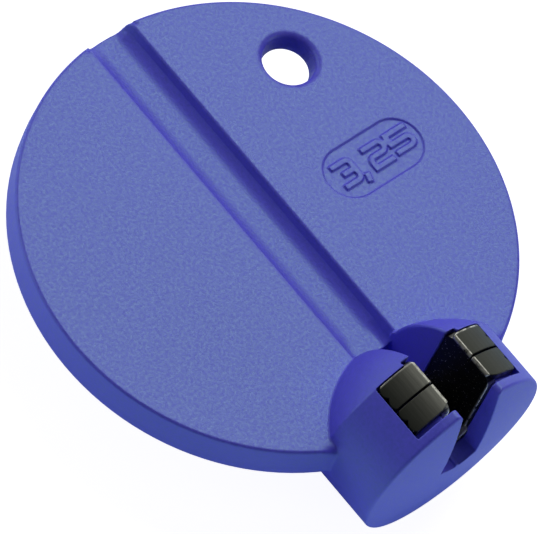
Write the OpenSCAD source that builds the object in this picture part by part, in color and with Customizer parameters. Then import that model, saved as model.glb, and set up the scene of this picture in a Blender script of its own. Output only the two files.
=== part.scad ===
// Thumb-disc spoke wrench: a moulded disc with a drum-shaped head and a bent steel jaw.
// Z points out of the face with the spoke channel, and the head lies towards -Y.
// The origin is on the ground, under the middle of the part.

/* [Disc] */
// Diameter of the thumb disc
disc_d = 48; // [44:1:56]
// Thickness of the disc
disc_t = 4.3; // [3.8:0.1:5.5]
// Radius of the rounded edges of the rim
rim_round = 0.9; // [0.3:0.1:1.6]

/* [Spoke channel] */
// Width of the channel at the face of the disc
channel_w = 5.2; // [4.6:0.1:6]
// Width of the channel at its floor, measured between the two walls
channel_floor_w = 3.8; // [3:0.1:4.2]
// Depth of the channel below the face
channel_depth = 1.5; // [1:0.1:2]
// Radius of the channel's upper edges
channel_edge_round = 0.3; // [0.1:0.05:0.7]
// Radius of the corners of the channel floor
channel_floor_round = 1; // [0.3:0.1:1.5]

/* [Head] */
// Diameter of the drum-shaped head
head_d = 20.25; // [19.5:0.05:24]
// Distance from the centre of the disc to the front edge of the drum
head_reach = 27.25; // [26:0.25:30]
// Length of the straight side of the drum
head_side = 7.05; // [6.8:0.05:8]
// Height of the dome behind the drum, which runs into the disc
head_back_dome = 5.45; // [4.5:0.05:6.5]
// Height of the shallow dome on the front of the head
head_front_dome = 0.95; // [0.5:0.05:1.5]
// Radius of the two edges of the drum
head_edge_round = 0.35; // [0.15:0.05:0.6]

/* [Nipple slot] */
// Size across the flats of the square nipple
nipple_flats = 3.25; // [3.2:0.05:3.6]
// Play of the nipple between the jaws, measured across its corners
jaw_play = 0.15; // [0.1:0.05:0.5]
// How far the plastic walls of the slot stand inside the jaw faces
slot_cover = 0.15; // [0:0.05:0.3]
// Distance from the tip of the back dome to the end of the slot
slot_end = 0.7; // [0.5:0.05:0.9]
// Radius of the upper edges of the slot between the front lips
slot_edge_round = 0.5; // [0.2:0.05:0.7]
// Thickness of the front lips, at the edge of the drum
lip_t = 1; // [0.7:0.05:1.1]
// Depth of the slot floor below the face of the disc, at the slot walls
slot_depth = 2.25; // [1.8:0.05:2.5]
// Fall of the slot floor from its walls to the middle
slot_fall = 0.7; // [0.3:0.05:1]
// Width of the ridge that the mould leaves along the slot floor
ridge_w = 0.25; // [0.15:0.05:0.4]
// Height of that ridge
ridge_h = 0.15; // [0.05:0.01:0.2]

/* [Jaw insert] */
// Thickness of the steel plate
plate_t = 0.9; // [0.7:0.05:1]
// Length of the jaw walls along the spoke
jaw_l = 6.1; // [5.4:0.05:6.2]
// Distance from the front edge of the drum back to the jaw walls
jaw_set_back = 1.35; // [1.25:0.05:1.7]
// Depth of the vee from the foot of the jaw walls to its sharp corner
vee_h = 2.45; // [2.3:0.05:2.6]
// Depth of the foot of the jaw walls below the face of the disc
jaw_foot = 1.05; // [0.8:0.05:1.3]
// Inside radius of the bend along the bottom of the vee
vee_bend = 0.6; // [0.3:0.05:0.9]
// How far the vee reaches in front of the jaw walls
vee_nose = 0.4; // [0.2:0.05:0.5]
// Radius of the upper corners of the jaw walls
jaw_corner = 1.2; // [0.5:0.1:1.5]
// Outside radius of the bend from each wall into its ear
ear_bend = 0.3; // [0.1:0.05:0.45]
// How far the ears stand proud of the drum
ear_proud = 0.03; // [0:0.01:0.1]
// Angle from the middle of the slot to the free edge of each ear, about the axis of the drum
ear_angle = 38; // [34:0.5:42]
// How far the ear stops short of the back of the jaw wall
ear_back_gap = 0.55; // [0.3:0.05:1]
// How far the inner edge of the ear stops short of the front of the jaw wall
ear_front_gap = 0.7; // [0.4:0.05:1]
// How far the front edge of the ear runs forward from there
ear_front_run = 0.5; // [0.2:0.05:0.6]
// Width over which it curves forward
ear_run_w = 1.4; // [1:0.1:2]
// Radius of the back inner corner of each ear, seen from above
ear_corner = 0.5; // [0.2:0.05:0.8]
// Width of the saw cut across the middle of each ear
ear_cut = 0.18; // [0.12:0.01:0.4]
// Number of lobes along the free edge of each ear
ear_lobes = 4; // [2:2:6]
// Radius of each lobe
lobe_r = 0.95; // [0.9:0.05:1.4]

/* [Lanyard hole] */
// Diameter of the hole at its narrowest
hole_d = 4.75; // [4:0.05:6]
// Length of that straight land, which ends at the middle of the disc's thickness
hole_land = 0.5; // [0.3:0.1:1]
// How much wider the hole is at its mouth in the face, before that is rounded
hole_flare = 0.35; // [0:0.05:0.8]
// Radius of that rounded mouth
hole_round = 0.7; // [0.5:0.05:1.2]
// Diameter to which the hole widens at the back of the disc
hole_back_d = 7.8; // [6:0.1:8.5]
// Distance of the middle of the hole from the rim
hole_in = 5.9; // [5.2:0.1:7]
// Angle from the side of the disc to the hole, away from the head
hole_angle = 43.6; // [30:0.2:60]

/* [Size recess] */
// Length of the shallow recess that carries the size
recess_l = 11.2; // [9:0.1:13]
// Width of the recess
recess_w = 5.5; // [4:0.1:6.5]
// Distance of the middle of the recess from the rim
recess_in = 11; // [10:0.1:13]
// Depth of the recess
recess_depth = 0.15; // [0.1:0.05:0.5]

/* [Hidden] */
$fn = 96;

// Gap between the steel and its seat in the plastic
seat_gap = 0.05;
// Gap behind the ears in their pockets
ear_gap = 0.15;
// How far a cut runs past the surface that it opens
over = 1;
// Number of straight steps in a small rounding and in a dome
round_steps = 6;
dome_steps = 18;
right_angle = 90;
vee_slope = 45;

disc_r = disc_d / 2;
face_z = disc_t / 2;
head_r = head_d / 2;
head_tip = head_reach + head_front_dome;
head_back = head_reach - head_side - head_back_dome;
// Places of the disc's centre that put the origin under the middle of the part
disc_y = (head_tip - disc_r) / 2;
disc_z = head_r;

jaw_half = (nipple_flats * sqrt(2) + jaw_play) / 2;
slot_half = jaw_half - slot_cover;
// The channel narrows to the slot just inside the dome, and its floor ends a little further in
slot_start = head_back + channel_edge_round;
slot_back = head_back + slot_end;
lip_back = head_reach - lip_t;
slot_corner_z = face_z - slot_depth;
slot_middle_z = slot_corner_z - slot_fall;
jaw_front = head_reach - jaw_set_back;
jaw_back = jaw_front - jaw_l;
jaw_foot_z = face_z - jaw_foot;
nose_front = jaw_front + vee_nose;
// The bend of the vee has its centre this high, inside and outside alike
vee_centre_z = jaw_foot_z - vee_h + vee_bend / cos(vee_slope);

ear_r = head_r + ear_proud;
ear_x = ear_r * sin(ear_angle);
ear_back = jaw_back + ear_back_gap;
ear_inner_front = jaw_front - ear_front_gap;
ear_front = ear_inner_front + ear_front_run;
lobe_pitch = (ear_front - ear_back) / ear_lobes;
lobe_sag = lobe_r - sqrt(lobe_r * lobe_r - lobe_pitch * lobe_pitch / 4);
ear_middle = (ear_back + ear_front) / 2;
// The walls end where the rounding of the bend into the ears begins
jaw_top_z = sqrt(pow(ear_r - ear_bend, 2) - pow(jaw_half + ear_bend, 2));

// Points along an arc, from one angle to another
function arc(centre, r, from, to, steps) =
    [for (i = [0:steps]) let (a = from + (to - from) * i / steps)
        centre + r * [cos(a), sin(a)]];

// Radius of the sphere whose cap has this height on a circle of radius r
function cap_radius(r, h) = (r * r + h * h) / (2 * h);

// Waste outside the rounded corner between an upright wall and a circle about the origin
function corner_waste(wall_x, outer_r, round_r) =
    let (x = wall_x + round_r, z = sqrt(pow(outer_r - round_r, 2) - x * x), a = atan2(z, x))
    concat(
        arc([x, z], round_r, 2 * right_angle, a, round_steps),
        [(outer_r + over) * [cos(a), sin(a)], [wall_x - over, outer_r + over], [wall_x - over, z]]);

function mirrored(points) = [for (i = [len(points) - 1:-1:0]) [-points[i].x, points[i].y]];

// Upright section, x across and y up, carried from one distance to another along the head
module along_head(from, to) {
    translate([0, -from, 0])
        rotate([right_angle, 0, 0])
            linear_extrude(to - from) children();
}

// Side section, x towards the head's front and y up, carried across the slot
module across_head(width) {
    rotate([right_angle, 0, -right_angle])
        linear_extrude(width, center = true) children();
}

// Plan section, x across and y towards the head's front, carried up through the ears
module through_ears() {
    mirror([0, 1, 0]) linear_extrude(head_r + over) children();
}

module both_sides() {
    children();
    mirror([1, 0, 0]) children();
}

// Disc with both edges of its rim rounded
module thumb_disc() {
    rotate_extrude()
        polygon(concat(
            [[0, face_z], [0, -face_z]],
            arc([disc_r - rim_round, rim_round - face_z], rim_round, -right_angle, 0, round_steps),
            arc([disc_r - rim_round, face_z - rim_round], rim_round, 0, right_angle, round_steps)));
}

// Drum between a deep dome behind and a shallow one in front, with rounded edges
module drum_head() {
    back_r = cap_radius(head_r, head_back_dome);
    front_r = cap_radius(head_r, head_front_dome);
    edge_x = head_r - head_edge_round;
    back_c = head_back + back_r;
    front_c = head_tip - front_r;
    back_run = sqrt(pow(back_r - head_edge_round, 2) - edge_x * edge_x);
    front_run = sqrt(pow(front_r - head_edge_round, 2) - edge_x * edge_x);
    back_a = -atan2(back_run, edge_x);
    front_a = atan2(front_run, edge_x);
    rotate([right_angle, 0, 0])
        rotate_extrude()
            polygon(concat(
                arc([0, back_c], back_r, -right_angle, back_a, dome_steps),
                arc([edge_x, back_c - back_run], head_edge_round, back_a, 0, round_steps),
                arc([edge_x, front_c + front_run], head_edge_round, 0, front_a, round_steps),
                arc([0, front_c], front_r, front_a, right_angle, dome_steps)));
}

// Section of the channel: sloping walls, rounded above and below
module channel_section() {
    half = channel_w / 2;
    floor_half = channel_floor_w / 2;
    lean = atan2(half - floor_half, channel_depth);
    turn = tan((right_angle - lean) / 2);
    edge_c = [half + channel_edge_round * turn, face_z - channel_edge_round];
    floor_c = [floor_half - channel_floor_round * turn, face_z - channel_depth + channel_floor_round];
    side = concat(
        [[edge_c.x, face_z + over]],
        arc(edge_c, channel_edge_round, right_angle, 2 * right_angle - lean, round_steps),
        arc(floor_c, channel_floor_round, -lean, -right_angle, round_steps));
    polygon(concat(side, mirrored(side)));
}

// Hole with a rounded mouth, a short straight land and a wide cone behind it
module lanyard_cut() {
    mouth_wall = hole_d / 2 + hole_flare / 2;
    mouth_x = mouth_wall + hole_round;
    mouth_z = face_z - hole_round;
    hole_reach = disc_r - hole_in;
    translate([hole_reach * cos(hole_angle), hole_reach * sin(hole_angle), 0])
        rotate_extrude()
            polygon(concat(
                [[0, -face_z - over], [hole_back_d / 2, -face_z - over], [hole_back_d / 2, -face_z]],
                [[hole_d / 2, 0], [hole_d / 2, hole_land]],
                arc([mouth_x, mouth_z], hole_round, 2 * right_angle, right_angle, round_steps),
                [[mouth_x, face_z + over], [0, face_z + over]]));
}

// Shallow recess with round ends
module recess_cut() {
    end_x = (recess_l - recess_w) / 2;
    translate([disc_r - recess_in, 0, face_z - recess_depth])
        linear_extrude(recess_depth + over) {
            square([2 * end_x, recess_w], center = true);
            for (side = [-1, 1]) translate([side * end_x, 0]) circle(d = recess_w);
        }
}

// Open slot with a floor that falls to a thin ridge in the middle
module slot_section() {
    side = [
        [slot_half, head_r + over],
        [slot_half, slot_corner_z],
        [ridge_w / 2, slot_middle_z],
        [ridge_w / 2, slot_middle_z + ridge_h]];
    polygon(concat(side, mirrored(side)));
}

// Section of the slot's first stretch, where the channel's floor runs on
module slot_start_section() {
    intersection() {
        channel_section();
        translate([-slot_half, -head_r]) square([2 * slot_half, head_d]);
    }
    translate([-slot_half, face_z]) square([2 * slot_half, head_r]);
}

// Rounding of the upper edge between the front lips
module slot_edge_cut() {
    along_head(ear_middle, head_tip + over)
        polygon(corner_waste(slot_half, head_r, slot_edge_round));
}

// Outline of the bent plate: straight walls on a vee with a rounded bottom
module vee_outline(half, bend) {
    touch = bend * cos(vee_slope);
    side = [
        [half, head_r + over],
        [half, vee_centre_z + half - 2 * touch],
        [touch, vee_centre_z - touch]];
    polygon(concat(side, mirrored(side)));
    translate([0, vee_centre_z]) circle(bend);
}

// Seat of the bent plate in the head, as wide as the plate and open to the front lips
module jaw_seat_cut() {
    half = jaw_half + plate_t + seat_gap;
    bend = vee_bend + plate_t + seat_gap;
    along_head(jaw_back - seat_gap, lip_back) vee_outline(half, bend);
    along_head(jaw_front, nose_front + seat_gap)
        intersection() {
            vee_outline(half, bend);
            translate([-half, jaw_foot_z + seat_gap - head_d])
                square([2 * half, head_d]);
        }
}

// Pocket that the ears lie in, longer than they are towards the front
module ear_pocket_cut() {
    difference() {
        through_ears()
            translate([0, ear_back - ear_gap])
                square([ear_x + seat_gap, lip_back + ear_gap - ear_back]);
        along_head(head_back, head_tip) circle(ear_r - plate_t - seat_gap);
    }
}

module moulded_body() {
    color("royalblue")
        difference() {
            union() {
                thumb_disc();
                drum_head();
            }
            along_head(-disc_r - over, slot_start) channel_section();
            along_head(slot_start - over, slot_back + over) slot_start_section();
            along_head(slot_back, head_tip + over) slot_section();
            jaw_seat_cut();
            both_sides() {
                slot_edge_cut();
                ear_pocket_cut();
            }
            lanyard_cut();
            recess_cut();
        }
}

// Section of the plate itself: the vee outline less the space inside it
module plate_section() {
    difference() {
        vee_outline(jaw_half + plate_t, vee_bend + plate_t);
        vee_outline(jaw_half, vee_bend);
    }
}

// Jaw walls and vee, with the walls' upper corners rounded
module jaw_walls() {
    wall_w = 2 * (jaw_half + plate_t + over);
    intersection() {
        along_head(jaw_back, jaw_front) plate_section();
        across_head(wall_w) {
            translate([jaw_back, -head_r])
                square([jaw_l, head_r + jaw_top_z - jaw_corner]);
            translate([jaw_back + jaw_corner, 0])
                square([jaw_l - 2 * jaw_corner, jaw_top_z]);
            for (s = [jaw_back + jaw_corner, jaw_front - jaw_corner])
                translate([s, jaw_top_z - jaw_corner]) circle(jaw_corner);
        }
    }
    along_head(jaw_back, nose_front)
        intersection() {
            plate_section();
            translate([-head_r, jaw_foot_z - head_d]) square([head_d, head_d]);
        }
}

// Plan of one ear out to the given distance from the slot
module ear_plan(reach) {
    front_r = cap_radius(ear_run_w, ear_front_run);
    polygon(concat(
        [[reach, ear_back], [reach, ear_front]],
        arc([jaw_half + ear_run_w, ear_front - front_r], front_r,
            right_angle, right_angle + asin(ear_run_w / front_r), round_steps),
        arc([jaw_half + ear_corner, ear_back + ear_corner], ear_corner,
            2 * right_angle, 3 * right_angle, round_steps)));
}

// Section of the plate where it bends outwards from the top of the wall into the ear
module ear_section() {
    difference() {
        intersection() {
            circle(ear_r);
            union() {
                translate([jaw_half, jaw_top_z - 2 * jaw_corner]) square([plate_t, head_r]);
                difference() {
                    translate([jaw_half, 0]) square(head_d);
                    circle(ear_r - plate_t);
                }
            }
        }
        polygon(corner_waste(jaw_half, ear_r, ear_bend));
    }
}

// Ear with a lobed free edge
module ear() {
    intersection() {
        along_head(ear_back, ear_front) ear_section();
        through_ears() {
            ear_plan(ear_x - lobe_sag);
            intersection() {
                ear_plan(ear_x);
                for (i = [0:ear_lobes - 1])
                    translate([ear_x - lobe_r, ear_back + (i + 1 / 2) * lobe_pitch])
                        circle(lobe_r);
            }
        }
    }
}

// Saw cut across the ears, as deep as the plate is thick
module saw_cut() {
    along_head(ear_middle - ear_cut / 2, ear_middle + ear_cut / 2)
        difference() {
            translate([-head_r, 0]) square([head_d, head_d]);
            circle(ear_r - plate_t);
        }
}

module jaw_insert() {
    color("dimgray")
        difference() {
            union() {
                jaw_walls();
                both_sides() ear();
            }
            saw_cut();
        }
}

module placed() {
    translate([0, disc_y, disc_z]) children();
}

placed() moulded_body();
placed() jaw_insert();
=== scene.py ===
"""Looks of a thumb-disc spoke wrench: one moulded nylon body and one bent steel jaw, in metres."""

import math

import bmesh
import bpy
from mathutils import Matrix, Vector


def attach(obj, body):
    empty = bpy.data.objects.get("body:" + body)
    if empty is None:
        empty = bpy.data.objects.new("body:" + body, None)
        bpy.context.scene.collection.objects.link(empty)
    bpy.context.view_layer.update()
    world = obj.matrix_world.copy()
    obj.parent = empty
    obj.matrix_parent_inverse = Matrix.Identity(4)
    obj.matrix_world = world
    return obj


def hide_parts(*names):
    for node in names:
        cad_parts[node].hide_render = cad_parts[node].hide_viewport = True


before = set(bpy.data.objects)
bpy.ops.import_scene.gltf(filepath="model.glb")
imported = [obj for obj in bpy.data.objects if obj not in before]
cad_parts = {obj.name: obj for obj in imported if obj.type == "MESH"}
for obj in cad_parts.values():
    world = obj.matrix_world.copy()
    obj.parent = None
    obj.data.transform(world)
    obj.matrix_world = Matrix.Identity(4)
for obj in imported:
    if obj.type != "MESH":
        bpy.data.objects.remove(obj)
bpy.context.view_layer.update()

# Moulded body
# The thumb disc and the drum-shaped head are one nylon moulding, so every edge has the small
# radius that the mould gives it, and the digits of the nipple size stand up in their recess.
# Its sizes are in millimetres, until the finished mesh is brought to metres.
MM = 0.001
mould_cell = 0.08
mould_passes = 3
body_triangles = 180000
disc_middle = Vector((0, 2.1))
disc_radius = 24.0
face_height = 12.275


def piece_from(name, shape):
    """A new object that holds a bmesh, which is then freed."""
    data = bpy.data.meshes.new(name)
    shape.to_mesh(data)
    shape.free()
    piece = bpy.data.objects.new(name, data)
    bpy.context.scene.collection.objects.link(piece)
    return piece


def node_copy(node):
    """A merged copy of a CAD node's mesh, in millimetres."""
    shape = bmesh.new()
    shape.from_mesh(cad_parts[node].data)
    bmesh.ops.scale(shape, verts=shape.verts, vec=Vector((1, 1, 1)) / MM)
    bmesh.ops.remove_doubles(shape, verts=shape.verts, dist=0.0005)
    return shape


def settle(piece):
    """Makes what the piece's modifiers give its own mesh."""
    graph = bpy.context.evaluated_depsgraph_get()
    data = bpy.data.meshes.new_from_object(piece.evaluated_get(graph))
    piece.modifiers.clear()
    piece.data = data


def soften(piece, cell, passes):
    """Gives every edge of a piece a small radius."""
    cells = piece.modifiers.new("cells", "REMESH")
    cells.mode = "VOXEL"
    cells.voxel_size = cell
    smooth = piece.modifiers.new("soft edges", "SMOOTH")
    smooth.factor = 0.5
    smooth.iterations = passes
    settle(piece)


def finish_mesh(piece, triangles):
    """Thins a piece to a number of triangles, and brings it to metres."""
    faces = 2 * len(piece.data.polygons)
    if faces > triangles:
        thin = piece.modifiers.new("fewer faces", "DECIMATE")
        thin.ratio = triangles / faces
        settle(piece)
    piece.data.transform(Matrix.Scale(MM, 4))
    piece.data.shade_smooth()


def slope(value, none_at, all_at):
    """A weight that grows from 0 to 1 between two values."""
    return min(1, max(0, (value - none_at) / (all_at - none_at)))


# The upper edges of the slot are rounded where they run over the dome behind the drum.
slot_half = 2.223
slot_round = 0.25
dome_middle = Vector((0, -24.78, 10.125))
dome_radius = 12.13
round_from = math.radians(33)
round_to = math.radians(78)
waste_outside = 1
waste_inside = 0.5
waste_steps = 32
arc_steps = 8


def slot_edge_waste(side):
    """What a rounded upper edge leaves away between a wall of the slot and the dome."""
    x = slot_half + slot_round
    z = math.sqrt((dome_radius - slot_round) ** 2 - x * x)
    last = math.atan2(z, x)
    outside = dome_radius + waste_outside
    section = []
    for step in range(arc_steps + 1):
        a = math.pi + (last - math.pi) * step / arc_steps
        section.append((x + slot_round * math.cos(a), z + slot_round * math.sin(a)))
    section += [(outside * math.cos(last), outside * math.sin(last)),
                (slot_half - waste_inside, outside), (slot_half - waste_inside, z)]
    shape = bmesh.new()
    back, up = math.sin(round_from), math.cos(round_from)
    start = shape.faces.new([shape.verts.new(dome_middle + Vector((side * u, r * back, r * up)))
                             for u, r in section])
    bmesh.ops.spin(shape, geom=[*start.verts, *start.edges, start], cent=dome_middle, axis=(-1, 0, 0),
                   angle=round_to - round_from, steps=waste_steps)
    bmesh.ops.recalc_face_normals(shape, faces=shape.faces)
    return shape


# The digits stand on roots that reach into the recess's floor. Their centre lines are about the
# middle of the recess. A third number turns that corner in an arc, and other corners are square.
stroke_width = 0.56
digit_rise = 0.22
digit_root = 0.3
corner_turn = 0.5
corner_steps = 6
post_sides = 24
recess_middle = Vector((13.0, 2.1))
recess_floor = 12.125
DIGIT_LINES = [
    [(-4.4, 1.28), (-2.26, 1.28, 1), (-2.26, -1.04, 1), (-4.4, -1.04)],
    [(-3.75, 0.12), (-2.26, 0.12)],
    [(-1.62, -0.85), (-1.87, -1.84)],
    [(-0.67, 1.19), (1.70, 1.19, 1), (1.70, 0.07, 1), (-0.41, 0.07, 1), (-0.41, -1.04), (1.82, -1.04)],
    [(4.9, 1.18), (2.36, 1.18), (2.36, 0.15), (4.64, 0.15, 1), (4.64, -0.87, 1), (2.26, -0.87)],
]


def turned(line):
    """The points of a line, with arcs at some corners, and whether each point is a square corner."""
    points = []
    for before, here, after in zip([None] + line, line, line[1:] + [None]):
        corner = Vector(here[:2])
        if len(here) == 2:
            points.append((corner, True))
            continue
        back = (Vector(before[:2]) - corner).normalized() * corner_turn
        on = (Vector(after[:2]) - corner).normalized() * corner_turn
        for step in range(corner_steps + 1):
            a = math.radians(90) * step / corner_steps
            points.append((corner + back * (1 - math.sin(a)) + on * (1 - math.cos(a)), False))
    return points


def raise_digits(shape):
    """Adds solid strokes: a bar for each straight run and a post where two runs meet."""
    tall = digit_root + digit_rise
    low = recess_middle.to_3d() + Vector((0, 0, recess_floor - digit_root + tall / 2))
    for line in DIGIT_LINES:
        points = turned(line)
        for (start, _), (end, _) in zip(points, points[1:]):
            run = end - start
            place = Matrix.Translation(low + ((start + end) / 2).to_3d())
            place @= Matrix.Rotation(math.atan2(run.y, run.x), 4, "Z")
            place @= Matrix.Diagonal((run.length, stroke_width, tall, 1))
            bmesh.ops.create_cube(shape, size=1, matrix=place)
        for knot, square in points[1:-1]:
            place = Matrix.Translation(low + knot.to_3d())
            if square:
                place @= Matrix.Diagonal((stroke_width, stroke_width, tall, 1))
                bmesh.ops.create_cube(shape, size=1, matrix=place)
            else:
                bmesh.ops.create_cone(shape, cap_ends=True, segments=post_sides, radius1=stroke_width / 2,
                                      radius2=stroke_width / 2, depth=tall, matrix=place)


# The corners of the spoke channel's floor have a wide radius, which ends short of the head and of
# the disc's rim, and the channel's left edge is softer than the right one.
channel_half = 2.6
channel_flat = 0.7
channel_radius = 2.0
channel_bottom = 10.775
channel_end = -11.8
channel_fade = 1.3
channel_rim = 25.95
channel_rim_fade = 0.75
channel_edge_reach = 3.6
channel_edge_bottom = 10.4
left_edge_from = -1.8
left_edge_passes = 40


def round_the_channel(piece):
    """Rounds the corners of the spoke channel's floor, and softens its left edge."""
    group = piece.vertex_groups.new(name="left_edge")
    for vertex in piece.data.vertices:
        x, y, z = vertex.co
        if abs(x) > channel_edge_reach or z < channel_edge_bottom or y < channel_end:
            continue
        full = slope(y, channel_end, channel_end + channel_fade)
        full *= slope(y, channel_rim, channel_rim - channel_rim_fade)
        if abs(x) < channel_half:
            run = max(0, abs(x) - channel_flat)
            arc = channel_bottom + channel_radius - math.sqrt(channel_radius ** 2 - run ** 2)
            vertex.co.z = z + full * max(0, arc - z)
        if x < left_edge_from:
            group.add([vertex.index], full, "REPLACE")
    smooth = piece.modifiers.new("soft left edge", "SMOOTH")
    smooth.vertex_group = group.name
    smooth.factor = 0.5
    smooth.iterations = left_edge_passes
    settle(piece)


# Above the parting line the side of the disc has draft, and the face's rim a small radius in place
# of the CAD's rounding, whose quarter turn is taken in thirds, in degrees: the last of the face, the
# small radius and the top of the side. Both stop short of the channel's mouth and of the drum.
parting_height = 10.125
rim_round = 0.9
rim_edge = 0.3
rim_draft = 0.15
rim_slack = 0.2
mouth_half = 3
head_start = -12
drum_half = 10.4
drum_fade = 1.0
third = 30


def sharpen_the_rim(piece):
    """Gives the rim of the face its own small radius, and the side above the parting line its draft."""
    start = disc_radius - rim_round
    flat = rim_round - rim_edge
    for vertex in piece.data.vertices:
        x, y, z = vertex.co
        spoke = Vector((x, y)) - disc_middle
        r = spoke.length
        if r < start or z < parting_height or r > disc_radius + rim_slack or (abs(x) < mouth_half and y > 0):
            continue
        share = 1 if y > head_start else slope(abs(x), drum_half, drum_half + drum_fade)
        new_r, new_z = r, z
        turn = math.degrees(math.atan2(r - start, z - (face_height - rim_round)))
        if turn < third:
            new_r, new_z = start + flat * turn / third, face_height
        elif turn < 2 * third:
            a = math.radians(3 * (turn - third))
            new_r = start + flat + rim_edge * math.sin(a)
            new_z = face_height + rim_edge * (math.cos(a) - 1)
        elif turn < 3 * third:
            new_r, new_z = disc_radius, face_height - rim_edge - flat * (turn - 2 * third) / third
        new_r -= rim_draft * slope(new_z, parting_height, face_height) * slope(new_r, start, start + rim_edge)
        new_r = r + share * (new_r - r)
        vertex.co = (*(disc_middle + spoke * (new_r / r)), z + share * (new_z - z))


# A ridge runs down the middle of the slot's floor, from the jaw to the front of the drum.
ridge_from = Vector((-0.17, -26.08, 9.0))
ridge_to = Vector((0.17, -24.3, 9.66))

body = piece_from("nylon_body", node_copy("moulded_body"))
for side in (-1, 1):
    waste = piece_from("slot_edge_waste", slot_edge_waste(side))
    cut = body.modifiers.new("rounded slot edge", "BOOLEAN")
    cut.object = waste
    cut.solver = "EXACT"
    settle(body)
    bpy.data.objects.remove(waste)
together = bmesh.new()
together.from_mesh(body.data)
raise_digits(together)
ridge = Matrix.Translation((ridge_from + ridge_to) / 2) @ Matrix.Diagonal((ridge_to - ridge_from).to_4d())
bmesh.ops.create_cube(together, size=1, matrix=ridge)
together.to_mesh(body.data)
together.free()
soften(body, mould_cell, mould_passes)
round_the_channel(body)
sharpen_the_rim(body)
finish_mesh(body, body_triangles)
weights = body.modifiers.new("flat faces stay flat", "WEIGHTED_NORMAL")
weights.weight = 50
weights.keep_sharp = True


def linear(hex_colour):
    """An sRGB hex colour as linear light, with alpha."""
    parts = [int(hex_colour[i:i + 2], 16) / 255 for i in (1, 3, 5)]
    return [c / 12.92 if c <= 0.04045 else ((c + 0.055) / 1.055) ** 2.4 for c in parts] + [1]


def add(tree, kind, inputs=(), **settings):
    """Adds a node with its settings, and gives its inputs values or links."""
    new = tree.nodes.new("ShaderNode" + kind)
    for name, value in settings.items():
        setattr(new, name, value)
    for name, value in dict(inputs).items():
        if isinstance(value, bpy.types.NodeSocket):
            tree.links.new(value, new.inputs[name])
        else:
            new.inputs[name].default_value = value
    return new


def new_material(name):
    """A material without nodes, and its node tree."""
    made = bpy.data.materials.new(name)
    made.use_nodes = True
    made.node_tree.nodes.clear()
    return made, made.node_tree


# Nylon, injection moulded in a spark-eroded mould: deep ultramarine with a satin sheen, a soft
# mottle and a fine grain. The grain is drawn as coarse as it needs to show.
mottle_size = 1.6 * MM
grain_size = 0.3 * MM
grain_depth = 0.022 * MM
grain_share = 0.85
nylon, tree = new_material("moulded_nylon")
place = add(tree, "TexCoord").outputs["Object"]
mottle = add(tree, "TexNoise", {"Vector": place, "Scale": 1 / mottle_size, "Detail": 3, "Roughness": 0.6})
grain = add(tree, "TexNoise", {"Vector": place, "Scale": 1 / grain_size, "Detail": 3, "Roughness": 0.6})
mixed = add(tree, "Mix", {"Factor": grain_share, "A": mottle.outputs["Fac"], "B": grain.outputs["Fac"]})
tone = add(tree, "MapRange", {"Value": mixed.outputs["Result"], "From Min": 0.35, "From Max": 0.65})
pigment = add(tree, "Mix", {"Factor": tone.outputs["Result"], "A": linear("#514ad6"), "B": linear("#5b4ee6")},
              data_type="RGBA")
sheen = add(tree, "MapRange", {"Value": grain.outputs["Fac"], "From Min": 0.35, "From Max": 0.65,
                               "To Min": 0.44, "To Max": 0.56})
relief = add(tree, "Bump", {"Height": grain.outputs["Fac"], "Distance": grain_depth, "Strength": 1})
plastic = add(tree, "BsdfPrincipled", {
    "Base Color": pigment.outputs["Result"], "Roughness": sheen.outputs["Result"], "IOR": 1.6,
    "Specular IOR Level": 0.85, "Specular Tint": linear("#d0fff9"), "Normal": relief.outputs["Normal"]})
add(tree, "OutputMaterial", {"Surface": plastic.outputs["BSDF"]})
body.data.materials.clear()
body.data.materials.append(nylon)
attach(body, "root")
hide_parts("moulded_body")

# Jaw insert
# One strip of hardened steel, bent to a vee with two upright walls and two ears folded outwards,
# then blackened. The ears have a saw cut and a lobed free edge, and lie in pockets of the head.
steel_cell = 0.05
steel_passes = 2
jaw_triangles = 120000
jaw = piece_from("steel_jaw", node_copy("jaw_insert"))
soften(jaw, steel_cell, steel_passes)
finish_mesh(jaw, jaw_triangles)

# Hardened steel, blackened in a hot bath: near black. Faces that point up are painted lighter as if lit
# from above, the left ear's top has brush streaks in a painted olive grey sheen, and the bends and
# edges carry painted highlights.
streak_width = 0.12 * MM
streak_length = 4 * MM
blotch_size = 0.5 * MM
fleck_size = 0.16 * MM
blacking, tree = new_material("blackened_steel")
place = add(tree, "TexCoord").outputs["Object"]
axes = add(tree, "SeparateXYZ", {"Vector": place}).outputs
facing = add(tree, "SeparateXYZ", {"Vector": add(tree, "NewGeometry").outputs["Normal"]}).outputs
across = add(tree, "Math", {0: axes["X"]}, operation="ABSOLUTE").outputs[0]
stretched = add(tree, "Mapping", {"Vector": place,
                                  "Scale": (1 / streak_width, 1 / streak_length, 1 / streak_width)})
streaks = add(tree, "TexNoise", {"Vector": stretched.outputs["Vector"], "Scale": 1, "Detail": 3})
blotches = add(tree, "TexNoise", {"Vector": place, "Scale": 1 / blotch_size, "Detail": 3})
specks = add(tree, "TexNoise", {"Vector": place, "Scale": 1 / fleck_size, "Detail": 1})

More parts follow.
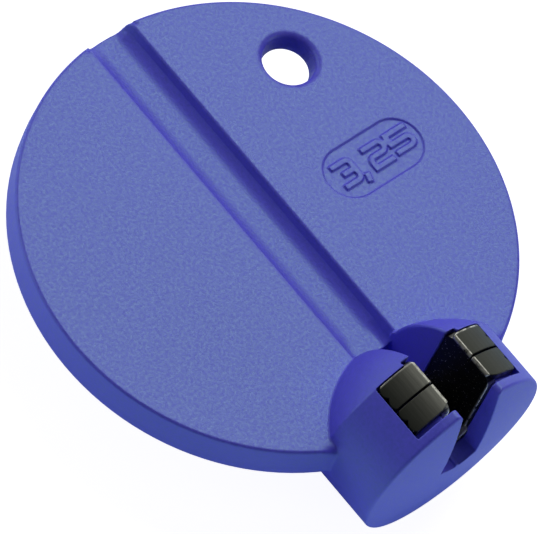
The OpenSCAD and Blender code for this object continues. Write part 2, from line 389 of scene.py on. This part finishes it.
# Masks that grow from 0 to 1 between two values, and what they make together
masks = {}
for name, value, none_at, all_at in (
        ("inward", across, 6.4 * MM, 3.0 * MM),
        ("left", axes["X"], 1 * MM, -1 * MM),
        ("streaky", streaks.outputs["Fac"], -0.6, 0.8),
        ("upward", facing["Z"], 0.55, 0.8),
        ("upright", facing["Z"], 0.3, 0.1),
        ("inner bend", across, 2.7 * MM, 2.55 * MM),
        ("wall top", axes["Z"], 19.5 * MM, 19.7 * MM),
        ("rightward", axes["X"], -6 * MM, 0),
        ("front edge", axes["Y"], -23.55 * MM, -23.75 * MM),
        ("back edge", axes["Y"], -18.45 * MM, -18.3 * MM),
        ("patchy", blotches.outputs["Fac"], 0.3, 0.5),
        ("flecks", specks.outputs["Fac"], 0.70, 0.74)):
    masks[name] = add(tree, "MapRange", {"Value": value, "From Min": none_at, "From Max": all_at}).outputs[0]
# Painted highlights lie along the inner bend on the right ear, the walls' front edge and the back edges of
# the ears' tops, broken into patches.
for name, operation, first, second in (
        ("brush streaks with painted sheen", "MULTIPLY", "inward", "left"),
        ("brush streaks with painted sheen", "MULTIPLY", "brush streaks with painted sheen", "streaky"),
        ("inner bend", "MULTIPLY", "inner bend", "wall top"),
        ("inner bend", "MULTIPLY", "inner bend", "rightward"),
        ("back edge", "MULTIPLY", "back edge", "upward"),
        ("painted highlight", "MAXIMUM", "inner bend", "front edge"),
        ("painted highlight", "MAXIMUM", "painted highlight", "back edge"),
        ("painted highlight", "MULTIPLY", "painted highlight", "patchy"),
        ("flecks", "MULTIPLY", "flecks", "upright"),
        ("bright", "MAXIMUM", "painted highlight", "flecks")):
    masks[name] = add(tree, "Math", {0: masks[first], 1: masks[second]}, operation=operation).outputs[0]
# The left ear's top: brush streaks, drawn lighter there than on the right ear as a painted sheen.
top = add(tree, "Mix", {"Factor": masks["brush streaks with painted sheen"], "A": linear("#33352e"), "B": linear("#87887f")},
          data_type="RGBA")
# Faces that point up are painted lighter than the near black sides, as painted light from above.
sides_and_painted_lit_tops = add(tree, "Mix", {"Factor": masks["upward"], "A": linear("#0a0a09"), "B": top.outputs["Result"]},
           data_type="RGBA")
# Painted highlights on the bends and edges, and bright flecks on upright faces.
painted_highlights_and_flecks = add(tree, "Mix", {"Factor": masks["bright"], "A": sides_and_painted_lit_tops.outputs["Result"], "B": linear("#cfcec3")},
             data_type="RGBA")
dull = add(tree, "MapRange", {"Value": masks["painted highlight"], "To Min": 0.42, "To Max": 0.3})
steel = add(tree, "BsdfPrincipled", {
    "Base Color": painted_highlights_and_flecks.outputs["Result"], "Metallic": 0.8, "Roughness": dull.outputs["Result"]})
add(tree, "OutputMaterial", {"Surface": steel.outputs["BSDF"]})
jaw.data.materials.clear()
jaw.data.materials.append(blacking)
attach(jaw, "root")
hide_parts("jaw_insert")

# Floor
# A plain white table, wide enough to fill every view. Only the camera sees it white. The part is
# lit by a greyer one with a cool glow, which stops where the disc keeps the room's light off it.
floor_half = 3.0
glow_end = 32
glow_strength = 0.50
shape = bmesh.new()
bmesh.ops.create_grid(shape, x_segments=1, y_segments=1, size=floor_half)
floor = piece_from("floor", shape)
paper, tree = new_material("matt_white_card")
seen = add(tree, "LightPath").outputs["Is Camera Ray"]
grey_card = add(tree, "BsdfDiffuse", {"Color": linear("#d8d8d8")})
place = add(tree, "TexCoord").outputs["Object"]
aside = add(tree, "VectorMath", {0: place, 1: disc_middle.to_3d() * MM}, operation="DISTANCE")
around = add(tree, "MapRange", {"Value": aside.outputs["Value"], "From Min": disc_radius * MM,
                                "From Max": glow_end * MM, "To Max": glow_strength})
room_glow = add(tree, "Emission", {"Color": linear("#aad7ff"), "Strength": around.outputs["Result"]})
lit_card = add(tree, "AddShader", {0: grey_card.outputs[0], 1: room_glow.outputs[0]})
card = add(tree, "BsdfDiffuse", {"Color": linear("#bcbcbc")})
glow = add(tree, "Emission", {"Color": linear("#ffffff"), "Strength": 0.93})
bright_card = add(tree, "AddShader", {0: card.outputs[0], 1: glow.outputs[0]})
both = add(tree, "MixShader", {"Fac": seen, 1: lit_card.outputs[0], 2: bright_card.outputs[0]})
add(tree, "OutputMaterial", {"Surface": both.outputs[0]})
floor.data.materials.append(paper)

# Studio light
# One softbox above the disc, a little behind it, gives the face its sheen. Weaker ones at both
# sides, low in front and at the back light the flanks and the drum. The room is dim, and the camera
# sees it white.
world = bpy.data.worlds.new("studio")
bpy.context.scene.world = world
world.use_nodes = True
tree = world.node_tree
tree.nodes.clear()
seen = add(tree, "LightPath").outputs["Is Camera Ray"]
room = add(tree, "Background", {"Color": linear("#ffffff"), "Strength": 0.05})
white = add(tree, "Background", {"Color": linear("#ffffff"), "Strength": 1})
both = add(tree, "MixShader", {"Fac": seen, 1: room.outputs[0], 2: white.outputs[0]})
add(tree, "OutputWorld", {"Surface": both.outputs[0]})

lamp_target = Vector((0, 0, 0.01))
lamp_distance = 0.6
lamp_width = 0.3
for name, direction, radiance in (
        ("window", (0.4, 0.25, 0.88), 5.1),
        ("right up", (0.8, 0.3, 0.5), 0.9),
        ("right", (0.95, 0.25, 0.15), 1.4),
        ("front low", (0.45, -0.85, 0.12), 1.9),
        ("left back", (-0.6, 0.75, 0.3), 1.8),
        ("back", (0, 0.95, 0.3), 1.3)):
    softbox = bpy.data.lights.new(name, "AREA")
    softbox.size = lamp_width
    softbox.energy = radiance * math.pi * lamp_width * lamp_width
    holder = bpy.data.objects.new(name, softbox)
    bpy.context.scene.collection.objects.link(holder)
    away = Vector(direction).normalized()
    holder.location = lamp_target + lamp_distance * away
    holder.rotation_euler = away.to_track_quat("Z", "Y").to_euler()

# Camera
# Far off with a long lens, on the side of the jaw, turned until the disc lies as in the photograph.
# Its place and lens come from a fit to the outline.
camera_place = Vector((-276.209, -139.855, 482.331)) * MM
looking = Vector((0.487021, 0.246532, -0.837874))
roll = math.radians(26.619)
photo_width = 542
focal_pixels = 6144
camera = bpy.data.cameras.new("camera")
camera.lens = camera.sensor_width * focal_pixels / photo_width
camera.clip_start = 0.01
eye = bpy.data.objects.new("camera", camera)
bpy.context.scene.collection.objects.link(eye)
turn = looking.to_track_quat("-Z", "Y") @ Matrix.Rotation(roll, 3, "Z").to_quaternion()
eye.matrix_world = Matrix.Translation(camera_place) @ turn.to_matrix().to_4x4()
bpy.context.scene.camera = eye
bpy.context.scene.view_settings.view_transform = "Standard"
